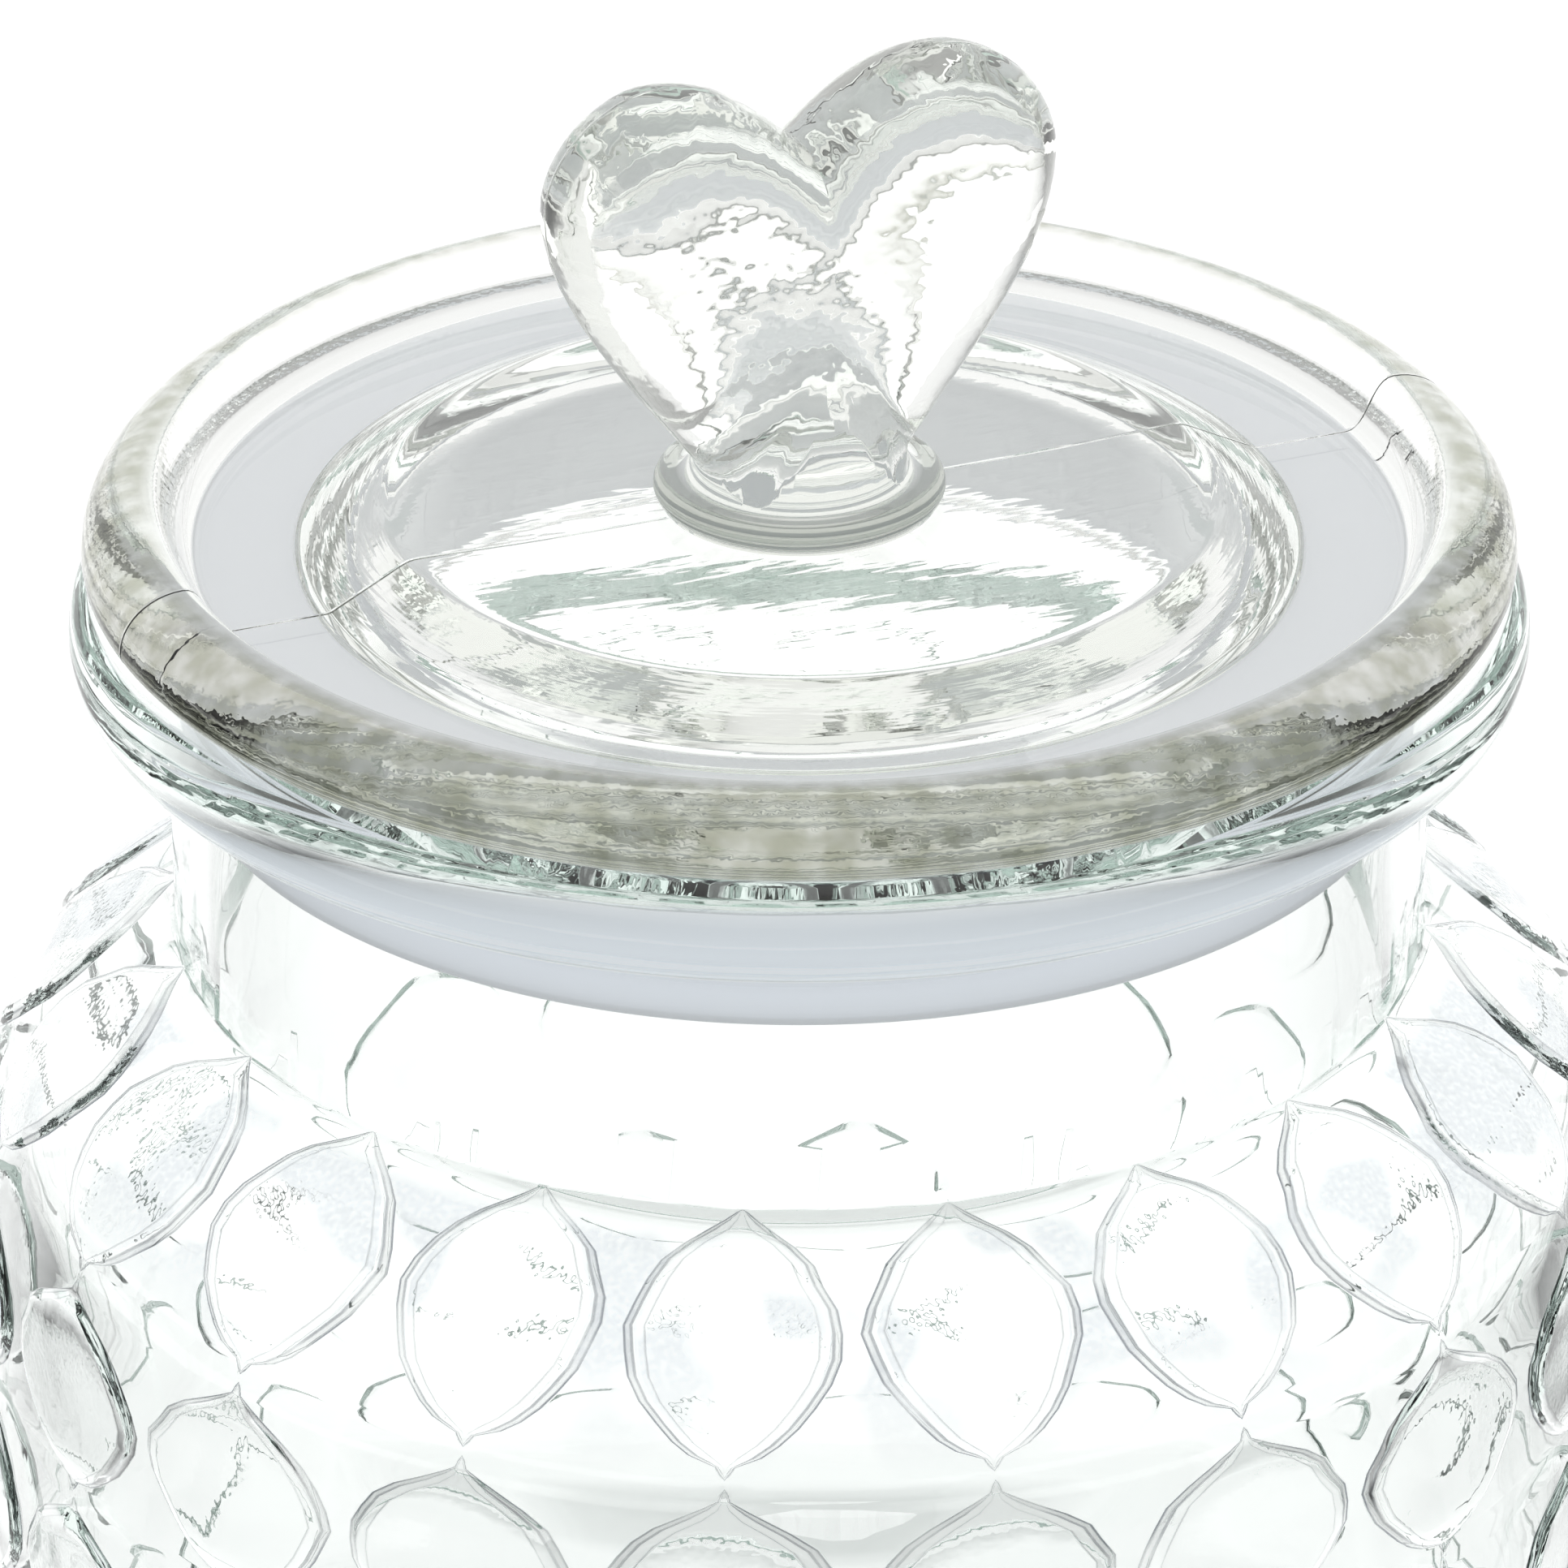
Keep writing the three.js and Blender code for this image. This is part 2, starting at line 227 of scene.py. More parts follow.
# levels along the wall as (length, row, share of the leaf's length), close together at the tips
def leafLevels(total):
    first, rowGap, tip = leaves["shoulderLength"], leaves["rowGap"], leaves["tip"]
    rest = (total - first - rowGap) / (leaves["rows"] - 1)
    rows = [(0.0, first)]
    for i in range(leaves["rows"] - 1):
        rows.append((first + rowGap + i * rest, rest - rowGap))
    levels = [(0.0, 0, 0.0)]
    for row, (start, length) in enumerate(rows):
        if row:
            levels.append((start - rowGap / 2, row, 0.0))
        for i in range(leaves["levels"] + 1):
            t = 0.5 - 0.5 * math.cos(math.pi * i / leaves["levels"])
            t = tip + (1 - 2 * tip) * t
            levels.append((start + length * t, row, t))
    return levels


def jarSection():
    points, along = wallLine()
    levels = leafLevels(float(along[-1]))
    inner = jar["radius"] - jar["wall"]
    floor = jar["pushUp"] + jar["floor"]
    fillet, soft, lip = jar["floorFillet"], jar["insideRound"], jar["lip"]
    neckInside = neckFoot - jar["wall"]
    slopeTop = downSlope(bore, neckInside, soft)
    inside = strung(
        straight((0, floor), (inner - fillet, floor), steps=8),
        rounded((inner - fillet, floor + fillet), fillet, fillet, -90, 0, steps=8),
        straight((inner, floor + fillet), (inner, shoulderFoot), steps=8),
        swept((inner, shoulderFoot), (inner, shoulderFoot + jar["shoulderLift"]),
              downSlope(bore, neckInside, jar["shoulderReach"]), slopeTop, steps=12),
        swept(slopeTop, (bore, neckInside), (bore, neckInside), (bore, neckInside + soft), steps=10),
        straight((bore, neckInside + soft), (bore, jar["height"] - lip), steps=5),
    )
    top, neck, cove = jar["height"], jar["neckRadius"], jar["beadFillet"]
    under = top - jar["beadHeight"]
    edge, middle = jar["beadRadius"] - jar["beadRound"], top - jar["beadHeight"] / 2
    rim = strung(
        rounded((bore + lip, top - lip), lip, lip, 180, 90, steps=5),
        straight((bore + lip, top), (edge, top), steps=3),
        rounded((edge, middle), jar["beadRound"], jar["beadHeight"] / 2, 90, -90, steps=18),
        straight((edge, under), (neck + cove, under), steps=2),
        rounded((neck + cove, under - cove), cove, cove, 90, 180, steps=4),
        straight((neck, under - cove), (neck, neckFoot + jar["neckSupport"]), steps=4),
    )
    outside = [tuple(onWall(points, along, s)[0]) for s, row, t in levels]
    heel, push = jar["heel"], jar["pushUp"]
    footOuter = jar["radius"] - heel
    footInner = footOuter - jar["footWidth"]
    pushEnd = footInner - jar["pushRun"] * push
    base = strung(
        rounded((footOuter, heel), heel, heel, 0, -90, steps=9),
        straight((footOuter, 0), (footInner, 0), steps=2),
        swept((footInner, 0), (footInner - push, push), (footInner - 2 * push, push), (pushEnd, push),
              steps=6),
        straight((pushEnd, push), (0, push), steps=6),
    )
    return strung(inside, rim, outside, base), levels


# half angles of a leaf's lines from its middle out to the next leaf, and how far each stands out
def leafLines(foot, radius, half):
    support = leaves["support"]
    squeeze = min(1.0, foot * radius / (leaves["wall"] + leaves["ramp"] + 3 * support))
    wall = foot - squeeze * leaves["wall"] / radius
    ramp = wall - squeeze * leaves["ramp"] / radius
    panel = ramp - squeeze * support / radius
    outside = foot + min(support / radius, (half - foot) / 2)
    angles = [0, panel / 2, panel, ramp, (ramp + wall) / 2, wall, foot, outside, (outside + half) / 2, half]
    high, low = leaves["rise"] * squeeze, leaves["wallRise"] * squeeze
    return angles, [high, high, high, high * leaves["crown"], (high + low) / 2, low, 0, 0, 0, 0]


# share of the half width at a share of the length, a little uneven from leaf to leaf
def leafShape(t, row, cell, rightSide):
    outlineT, outlineW = np.array(leaves["outline"]).T
    cellPhase, rowPhase, sidePhase = leaves["phases"]
    slow, fast = leaves["wobbleWaves"]
    phase = cellPhase * cell + rowPhase * row + sidePhase * rightSide
    waves = math.sin(slow * t + phase) + leaves["wobbleShare"] * math.sin(fast * t + 3 * phase)
    return float(np.interp(t, outlineT, outlineW)) * (1 + leaves["wobble"] * waves)


# pulls the columns of the spun wall onto each leaf's lines and lifts the panels inside them
def pressLeaves(piece, levels):
    points, along = wallLine()
    half = math.pi / leaves["columns"]
    sides, lastLine = leaves["sides"], len(leaves["sides"]) - 1
    spots = np.array([onWall(points, along, s)[0] for s, row, t in levels])
    normals = [onWall(points, along, s)[1] for s, row, t in levels]
    middles = [np.mean([s for s, r, t in levels if r == row and t > 0]) for row in range(leaves["rows"])]
    widest = [half - leaves["gap"] / 2 / onWall(points, along, middle)[0][0] for middle in middles]
    co = pointsOf(piece)
    radius = np.hypot(co[:, 0], co[:, 1])
    panel, shadePatch = np.zeros(len(co)), np.zeros(len(co))
    side = np.full(len(co), sides[-1])
    for v in range(len(co)):
        gaps = np.hypot(spots[:, 0] - radius[v], spots[:, 1] - co[v, 2])
        i = int(np.argmin(gaps))
        if gaps[i] > onLevel:
            continue
        s, row, share = levels[i]
        wallRadius, level = spots[i]
        turn = math.atan2(co[v, 1], co[v, 0]) % (2 * math.pi)
        cell = math.floor(turn / (2 * half) + 1e-6)
        u = turn / half - 2 * cell - 1
        line = min(lastLine, round(abs(u) * lastLine))
        t = min(max(share, leaves["tip"]), 1 - leaves["tip"])
        foot = min(widest[row] * leafShape(t, row, cell, u > 0), half - leaves["minGap"] / wallRadius)
        angles, lifts = leafLines(foot, wallRadius, half)
        lift = lifts[line] * float(eased(min(t, 1 - t), 0, leaves["tipFade"])) if share else 0
        panel[v] = 1.0 if line < leaves["panelLines"] else 0.0
        side[v] = sides[line] if share else sides[-1]
        # painted shade: weights for the grey patches below the neck
        if level < neckFoot - jarZones["patchTop"]:
            shadePatch[v] = eased(level, neckFoot - jarZones["patchEnd"], neckFoot - jarZones["patchFull"])
        place = (2 * cell + 1) * half + math.copysign(angles[line], u)
        r = wallRadius + normals[i][0] * lift
        co[v] = (r * math.cos(place), r * math.sin(place), level + normals[i][1] * lift)
    piece.data.vertices.foreach_set("co", (co * mm).ravel())
    paintZone(piece, "leafPanel", panel)
    paintZone(piece, "leafSide", side)
    paintZone(piece, "paintedShadeZone", shadePatch)
    fade, beadFade = jarZones["hammerFade"], jarZones["beadFade"]
    hammer = jarZones["hammerLow"] + eased(co[:, 2], shoulderFoot - fade, shoulderFoot + fade)
    paintZone(piece, "hammerZone", panel * hammer)
    beadBottom = jar["height"] - jar["beadHeight"]
    bead = eased(co[:, 2], beadBottom - beadFade, beadBottom + beadFade)
    paintZone(piece, "beadZone", bead * eased(radius, *jarZones["beadFrom"]))
    piece.data.update()


def makeJar():
    section, levels = jarSection()
    piece = turnedPiece("jarGlass", section, leaves["columns"] * jar["columnsPerLeaf"])
    pressLeaves(piece, levels)
    bpy.ops.object.shade_smooth_by_angle(angle=math.radians(jar["smoothAngle"]))
    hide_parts("jar_body")
    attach(piece, "jar")
    return piece


jarGlass = makeJar()
print("jar body pressed:", len(jarGlass.data.polygons), "faces")


# seal ring: sizes in millimetres, levels from the top of the jar's bead
seal = {
    "clearance": 0.3, "wall": 1.5, "fins": 3, "finPitch": 4.4, "finRoot": 1.2, "finTip": 0.6, "finLean": 0.8,
    "finBase": 0.2, "finBlend": 1.5, "finReach": 2.0, "finEase": 0.4, "flange": 0.8, "flangeRadius": 46.5,
    "plugRadius": 36.0, "depth": 14.6, "round": 0.25, "steps": 192, "smoothAngle": 40,
}
sealLevel = jar["height"] + seal["clearance"]
finRadius = bore - seal["clearance"]
sealBore = seal["plugRadius"] + seal["clearance"]
sealOuter = sealBore + seal["wall"]


# one soft fin, from its root under the sleeve's side out to its round tip and back
def finRuns(root):
    tip, ease = seal["finTip"] / 2, seal["finEase"]
    lean, back = root + seal["finLean"], root + seal["finRoot"]
    end, reach = finRadius - tip, finRadius - seal["finReach"]
    return [
        swept((sealOuter - seal["finBase"], root), (sealOuter + seal["finBlend"], root), (reach, lean),
              (end, lean), steps=6),
        rounded((end, lean + tip), tip, tip, -90, 90, steps=5),
        swept((end, lean + 2 * tip), (reach, lean + 2 * tip), (sealOuter + ease, back),
              (sealOuter, back + ease), steps=6),
    ]


def makeSeal():
    low, high = sealLevel - seal["depth"], sealLevel + seal["flange"]
    soft, ease = seal["round"], seal["finEase"]
    edge = seal["flangeRadius"] - soft
    runs = [straight((sealBore, low + soft), (sealBore + soft, low), steps=2)]
    for i in range(seal["fins"]):
        runs += finRuns(low + seal["finPitch"] * i)
    runs += [
        straight((sealOuter, sealLevel - ease), (sealOuter + ease, sealLevel), steps=3),
        straight((sealOuter + ease, sealLevel), (edge, sealLevel), steps=3),
        rounded((edge, sealLevel + seal["flange"] / 2), soft, seal["flange"] / 2, -90, 90, steps=6),
        straight((edge, high), (sealBore + soft, high), steps=3),
        straight((sealBore + soft, high), (sealBore, high - soft), steps=2),
        straight((sealBore, high - soft), (sealBore, low + soft), steps=5),
    ]
    piece = turnedPiece("sealRing", strung(*runs), seal["steps"], closed=True)
    bpy.ops.object.shade_smooth_by_angle(angle=math.radians(seal["smoothAngle"]))
    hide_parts("seal_ring")
    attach(piece, "seal")
    return piece


sealRing = makeSeal()
print("seal ring turned:", len(sealRing.data.polygons), "faces")


# lid: sizes in millimetres, levels from the underside of its edge
lid = {
    "radius": 52.0, "edge": 6.0, "edgeLevel": 1.8, "edgeUnder": 2.5, "crest": 47.2, "channelOuter": 43.4,
    "channelInner": 36.2, "channelLevel": 2.1, "channelEase": 0.15, "channelRise": 0.08, "disc": 30.0,
    "discLevel": 5.2, "discDish": 0.3, "discOut": 0.8, "discDrop": 0.35, "discLip": 1.4, "discLipDrop": 0.02,
    "plugDepth": 16.5, "plugWall": 3.6, "plugRound": 0.9, "plugEase": 0.4, "hollow": 29.8,
    "hollowLevel": -3.2, "hollowRound": 1.6, "hollowEase": 0.3, "collar": 10.6, "collarHeight": 2.2,
    "collarTuck": 0.5, "collarFrom": -60, "stem": 7.8, "stemRise": 3.2, "stemFlare": 0.6, "stemLift": 0.3,
    "coreRadii": (6, 4), "coreLevels": (5, 7, 8), "steps": 240, "smoothAngle": 45,
}
heart = {
    "halfWidth": 19.5, "top": 38.7, "notch": 32.9, "notchLift": 2.75, "lobe": 10.8, "lobeStart": 0.3,
    "lobeEase": 0.58, "lobeLevel": 30.2, "flankDrop": 8, "flankRise": 6, "flankTuck": 2, "tail": 7.5,
    "waist": 8.1, "root": 0.6, "rootRound": 1, "rootRun": 2, "thickness": 14.0, "centre": 22.5,
    "rings": [1, 0.996, 0.985, 0.965, 0.935, 0.895, 0.84, 0.77, 0.68, 0.57, 0.44, 0.3, 0.16],
}
# where the lid's surface patterns start and end: radii, levels, and heights above the disc
lidZones = {
    "upper": (0.5, 1.5), "plainTop": (1.5, 2.5), "discEdge": (28.7, 29.9), "slopeFrom": (29.8, 30.6),
    "slopeTo": (35.6, 36.4), "rimFrom": (45.8, 48.2), "seamFrom": (10.7, 11.3), "collarFrom": (8.2, 9),
    "collarTo": (11, 12), "collarFoot": (-0.1, 0.5), "collarTop": (2.7, 3.3), "knobFoot": (2.5, 5.5),
}
lidLevel = sealLevel + seal["flange"] + seal["clearance"]
plugRadius = seal["plugRadius"]
discCentre = lid["discLevel"] - lid["discDish"]


# the hollow plug and the underside, from the axis out to the edge
def lidUnder():
    inside, low = plugRadius - lid["plugWall"], -lid["plugDepth"]
    ease, soft = lid["plugEase"], lid["plugRound"]
    hollow, ceiling, turn = lid["hollow"], lid["hollowLevel"], lid["hollowRound"]
    corner = (hollow + turn / 2, ceiling - turn)
    edge = lid["radius"] - lid["edgeUnder"]
    return strung(
        straight((0, ceiling), (hollow, ceiling), steps=10),
        swept((hollow, ceiling), (hollow + turn * lid["hollowEase"], ceiling),
              (hollow + turn / 2, ceiling - turn / 2), corner, steps=6),
        straight(corner, (inside, low + soft), steps=8),
        swept((inside, low + soft), (inside, low + soft / 2), (inside + soft / 2, low),
              (inside + soft, low), steps=4),
        straight((inside + soft, low), (plugRadius - soft, low), steps=2),
        swept((plugRadius - soft, low), (plugRadius - soft / 2, low), (plugRadius, low + soft / 2),
              (plugRadius, low + soft), steps=4),
        straight((plugRadius, low + soft), (plugRadius, -ease), steps=6),
        straight((plugRadius, -ease), (plugRadius + ease, 0), steps=2),
        straight((plugRadius + ease, 0), (edge, 0), steps=5),
        rounded((edge, lid["edgeLevel"]), lid["edgeUnder"], lid["edgeLevel"], -90, 0, steps=8),
    )


# the rounded edge, the sunk channel, the slope and the disc, from the edge in to the collar
def lidTop():
    crest, edge, edgeLevel = lid["crest"], lid["edge"], lid["edgeLevel"]
    outer, channel, rise = lid["channelOuter"], lid["channelLevel"], lid["channelRise"]
    wallTop = (crest + outer) / 2
    innerFrom, innerTo = lid["channelInner"] + lid["channelEase"], lid["channelInner"] - lid["channelEase"]
    disc, level = lid["disc"], lid["discLevel"]
    slopeTop = (disc + lid["discOut"], level - lid["discDrop"])
    lip = (disc - lid["discLip"], level - lid["discLipDrop"])
    middle = ((disc + lid["collar"]) / 2, discCentre)
    return strung(
        rounded((crest, edgeLevel), lid["radius"] - crest, edge - edgeLevel, 0, 90, steps=12),
        swept((crest, edge), (wallTop, edge), (wallTop, channel), (outer, channel), steps=12),
        straight((outer, channel), (innerFrom, channel), steps=5),
        straight((innerFrom, channel), (innerTo, channel + rise), steps=1),
        straight((innerTo, channel + rise), slopeTop, steps=5),
        swept(slopeTop, (disc, level), (disc, level), lip, steps=5),
        swept(lip, middle, middle, (lid["collar"] - lid["collarTuck"], discCentre), steps=10),
    )


# the round collar and the stem that the heart grows from, up to the axis
def lidCollar():
    half, stem = lid["collarHeight"] / 2, lid["stem"]
    core, top = lid["collar"] - half, discCentre + lid["collarHeight"]
    stemTop = (stem, discCentre + lid["stemRise"])
    outer, inner = lid["coreRadii"]
    low, middle, high = (discCentre + level for level in lid["coreLevels"])
    return strung(
        rounded((core, discCentre + half), half, half, lid["collarFrom"], 90, steps=8),
        swept((core, top), (stem + lid["stemFlare"], top), (stem, top + lid["stemLift"]), stemTop, steps=6),
        swept(stemTop, (stem, low), (outer, middle), (inner, high), steps=6),
        straight((inner, high), (0, high), steps=2),
    )


def heartOutline():
    w, lobe, top, notch = heart["halfWidth"], heart["lobe"], heart["top"], heart["notch"]
    level, tail, waist, root = heart["lobeLevel"], heart["tail"], heart["waist"], heart["root"]
    low, inset = root + heart["rootRound"], tail - heart["rootRun"]
    half = strung(
        swept((0, notch), (lobe * heart["lobeStart"], notch + heart["notchLift"]),
              (lobe * heart["lobeEase"], top), (lobe, top), steps=12),
        swept((lobe, top), ((lobe + w) / 2, top), (w, (top + level) / 2), (w, level), steps=12),
        swept((w, level), (w, level - heart["flankDrop"]),
              ((w + tail) / 2 - heart["flankTuck"], waist + heart["flankRise"]), (tail, waist), steps=16),
        straight((tail, waist), (tail, low), steps=5),
        swept((tail, low), (tail, root), (tail - heart["rootRound"], root), (inset, root), steps=3),
        straight((inset, root), (0, root), steps=3),
    )
    return half + [(-x, z) for x, z in reversed(half[1:-1])]


# a loop with the heart's outline, extruded and drawn in ring by ring into a crowned half, then mirrored
def makeHeart():
    outline = heartOutline()
    piece = startPoint("heartKnob", *outline[0])
    drawLine(outline)
    bpy.ops.object.mode_set(mode="OBJECT")
    edges = [tuple(edge.vertices) for edge in piece.data.edges]
    for v in piece.data.vertices:
        v.select = sum(v.index in edge for edge in edges) == 1
    bpy.ops.object.mode_set(mode="EDIT")
    bpy.ops.mesh.edge_face_add()
    bpy.ops.mesh.select_all(action="SELECT")
    rings = heart["rings"]
    crown = [heart["thickness"] / 2 * math.sqrt(1 - ring ** 4) for ring in rings]
    for i in range(1, len(crown)):
        shrink = rings[i] / rings[i - 1]
        lift = (0, (crown[i] - crown[i - 1]) * mm, 0)
        bpy.ops.mesh.extrude_edges_move(TRANSFORM_OT_translate={"value": lift})
        bpy.ops.transform.resize(value=(shrink, 1, shrink), center_override=(0, 0, heart["centre"] * mm))
    bpy.ops.mesh.merge(type="CENTER")
    bpy.ops.object.mode_set(mode="OBJECT")
    bpy.ops.object.modifier_add(type="MIRROR")
    mirror = piece.modifiers[-1]
    mirror.use_axis = (False, True, False)
    mirror.merge_threshold = merge
    bpy.ops.object.modifier_apply(modifier=mirror.name)
    bpy.ops.object.mode_set(mode="EDIT")
    cleanShell()
    bpy.ops.transform.translate(value=(0, 0, lidLevel * mm))
    bpy.ops.object.mode_set(mode="OBJECT")
    return piece


def after(value, key):
    return eased(value, *lidZones[key])


def before(value, key):
    return 1 - after(value, key)


def paintLid(piece):
    co = pointsOf(piece)
    radius, level = np.hypot(co[:, 0], co[:, 1]), co[:, 2] - lidLevel
    rise = level - discCentre
    upper = after(level, "upper")
    plain = upper * before(rise, "plainTop")
    collar = after(radius, "collarFrom") * before(radius, "collarTo") * after(rise, "collarFoot")
    paintZone(piece, "discZone", plain * before(radius, "discEdge"))
    paintZone(piece, "slopeZone", plain * after(radius, "slopeFrom") * before(radius, "slopeTo"))
    # the rim zone carries the pebble bumps and the painted dark reflection
    paintZone(piece, "rimZone", after(radius, "rimFrom"))
    paintZone(piece, "seamZone", upper * after(radius, "seamFrom"))
    # painted shade goes on the collar zone
    paintZone(piece, "collarZone", collar * before(rise, "collarTop"))
    paintZone(piece, "knobZone", after(rise, "knobFoot"))


def makeLid():
    knob = makeHeart()
    section = [(r, z + lidLevel) for r, z in strung(lidUnder(), lidTop(), lidCollar())]
    piece = turnedPiece("lidGlass", section, lid["steps"])
    bpy.ops.object.modifier_add(type="BOOLEAN")
    join = piece.modifiers[-1]
    join.operation = "UNION"
    join.solver = "EXACT"
    join.object = knob
    bpy.ops.object.modifier_apply(modifier=join.name)
    bpy.data.objects.remove(knob)
    paintLid(piece)
    bpy.ops.object.shade_smooth_by_angle(angle=math.radians(lid["smoothAngle"]))
    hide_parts("lid")
    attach(piece, "lid")
    return piece


lidGlass = makeLid()
print("lid and heart joined:", len(lidGlass.data.polygons), "faces")


# materials: node helpers
def addNode(tree, kind, **values):
    node = tree.nodes.new(kind)
    for key, value in values.items():
        setattr(node, key, value)
    return node


def feed(tree, node, socket, value):
    if isinstance(value, bpy.types.NodeSocket):
        tree.links.new(value, node.inputs[socket])
    else:
        node.inputs[socket].default_value = value


def calc(tree, operation, first, second=0.0):
    node = addNode(tree, "ShaderNodeMath", operation=operation)
    feed(tree, node, 0, first)
    feed(tree, node, 1, second)
    return node.outputs[0]


def times(tree, first, *others):
    for other in others:
        first = calc(tree, "MULTIPLY", first, other)
    return first


def vectorCalc(tree, operation, first, second=(0, 0, 0), outlet=0):
    node = addNode(tree, "ShaderNodeVectorMath", operation=operation)
    feed(tree, node, 0, first)
    feed(tree, node, 1, second)
    return node.outputs[outlet]


def newGroup(name, inputs, outputs):
    group = bpy.data.node_groups.new(name, "ShaderNodeTree")
    for title, kind in inputs.items():
        group.interface.new_socket(title, in_out="INPUT", socket_type="NodeSocket" + kind)
    for title, kind in outputs.items():
        group.interface.new_socket(title, in_out="OUTPUT", socket_type="NodeSocket" + kind)
    return group, addNode(group, "NodeGroupInput").outputs, addNode(group, "NodeGroupOutput").inputs


# splits a point into its heading round the jar's axis, its radius and its height
def makeRoundCoords():
    group, inlet, outlet = newGroup("roundCoords", {"Vector": "Vector"},
                                    {"Heading": "Vector", "Radius": "Float", "Height": "Float"})
    flat = vectorCalc(group, "MULTIPLY", inlet["Vector"], (1, 1, 0))
    group.links.new(vectorCalc(group, "NORMALIZE", flat), outlet["Heading"])
    group.links.new(vectorCalc(group, "LENGTH", flat, outlet=1), outlet["Radius"])
    parts = addNode(group, "ShaderNodeSeparateXYZ")
    group.links.new(inlet["Vector"], parts.inputs[0])
    group.links.new(parts.outputs["Z"], outlet["Height"])
    return group


# lines that run round the jar, stacked by height or by radius, each wandering a little
def makeTurnedLines():
    inputs = {"Heading": "Vector", "Along": "Float", "Lines": "Float", "Wander": "Float"}
    group, inlet, outlet = newGroup("turnedLines", inputs, {"Height": "Float"})
    stack = addNode(group, "ShaderNodeCombineXYZ")
    group.links.new(calc(group, "MULTIPLY", inlet["Along"], inlet["Lines"]), stack.inputs["Z"])
    spread = addNode(group, "ShaderNodeVectorMath", operation="SCALE")
    group.links.new(inlet["Heading"], spread.inputs[0])
    group.links.new(inlet["Wander"], spread.inputs["Scale"])
    place = vectorCalc(group, "ADD", spread.outputs[0], stack.outputs[0])
    group.links.new(grain(group, place, scale=1.0, detail=1.0), outlet["Height"])
    return group


def useGroup(tree, group, **values):
    node = addNode(tree, "ShaderNodeGroup", node_tree=group)
    for title, value in values.items():
        feed(tree, node, title.capitalize(), value)
    return node.outputs


def grain(tree, vector, scale, detail=0.0):
    node = addNode(tree, "ShaderNodeTexNoise")
    feed(tree, node, "Vector", vector)
    feed(tree, node, "Scale", scale)
    feed(tree, node, "Detail", detail)
    return node.outputs["Fac"]


# adds up patterns, each under its masks and with its height in micrometres, and bends the surface by the sum
def relief(tree, shader, layers):
    total = None
    for depth, pattern, *masks in layers:
        height = times(tree, pattern, depth * micrometre, *masks)
        total = height if total is None else calc(tree, "ADD", total, height)
    bump = addNode(tree, "ShaderNodeBump")
    feed(tree, bump, "Strength", 1.0)
    feed(tree, bump, "Distance", 1.0)
    feed(tree, bump, "Height", total)
    tree.links.new(bump.outputs["Normal"], shader.inputs["Normal"])


# one minus a mask, a soft step, and a colour that goes to a second one under a mask
def opposite(tree, mask):
    return calc(tree, "SUBTRACT", 1.0, mask)


def above(tree, value, limits, results=(0.0, 1.0)):
    step = addNode(tree, "ShaderNodeMapRange", interpolation_type="SMOOTHSTEP")
    feed(tree, step, "Value", value)
    feed(tree, step, "From Min", limits[0])
    feed(tree, step, "From Max", limits[1])
    feed(tree, step, "To Min", results[0])
    feed(tree, step, "To Max", results[1])
    return step.outputs["Result"]


def tinted(tree, base, tint, mask):
    mix = addNode(tree, "ShaderNodeMix", data_type="RGBA")
    feed(tree, mix, "Factor", mask)
    feed(tree, mix, 6, base)
    feed(tree, mix, 7, tint)
    return mix.outputs[2]


def zone(tree, name):
    return addNode(tree, "ShaderNodeAttribute", attribute_name=name).outputs["Fac"]


def newMaterial(name, colour, roughness):
    material = bpy.data.materials.new(name)
    material.use_nodes = True
    nodes = material.node_tree.nodes
    shader = nodes["Principled BSDF"]
    shader.inputs["Base Color"].default_value = colour
    shader.inputs["Roughness"].default_value = roughness
    return material, material.node_tree, shader, nodes["Material Output"]


def objectCoords(tree):
    return addNode(tree, "ShaderNodeTexCoord").outputs["Object"]


def clearGlass(name, look):
    material, tree, shader, output = newMaterial(name, look["tint"], look["roughness"])
    shader.inputs["IOR"].default_value = look["ior"]
    shader.inputs["Transmission Weight"].default_value = 1.0
    depth = addNode(tree, "ShaderNodeVolumeAbsorption")
    depth.inputs["Color"].default_value = look["depthTint"]
    depth.inputs["Density"].default_value = look["depth"]
    tree.links.new(depth.outputs["Volume"], output.inputs["Volume"])
    nearSide = opposite(tree, addNode(tree, "ShaderNodeNewGeometry").outputs["Backfacing"])
    return material, tree, shader, objectCoords(tree), nearSide


roundCoords, turnedLines = makeRoundCoords(), makeTurnedLines()

# body glass: depths of patterns in micrometres, noise scales per metre, and colours of the painted shade:
# dark lines on the leaves' edges and grey patches under the neck
bodyFinish = {
    "tint": (0.985, 0.995, 0.99, 1), "roughness": 0.0, "ior": 1.52, "depthTint": (0.80, 0.92, 0.87, 1),
    "depth": 12.0, "beadLines": 22, "beadScale": 1500.0, "beadWander": 5.0, "hammer": 7,
    "hammerScale": 2200.0, "waves": 60, "waveScale": 110.0, "paintedEdgeShade": (0.10, 0.11, 0.13, 1),
    "breakScale": 190.0, "breakRange": (0.3, 0.62), "breakResult": (0.58, 1.0),
    "paintedShadeTint": (0.62, 0.645, 0.69, 1), "patchScale": 75.0, "patchDetail": 2.0, "patchShift": 0.3,
    "patchRange": (0.49, 0.56), "patchGrain": (-0.5, 0.75),
    "edgeLines": [(0.5, 0), (0.8, 0.6), (1.05, 0.6), (1.3, 0), (2.55, 0), (2.75, 0.85), (3.05, 0.85),
                  (3.25, 0.35), (3.7, 0.35), (3.95, 1), (4.4, 1), (4.7, 0)],
}
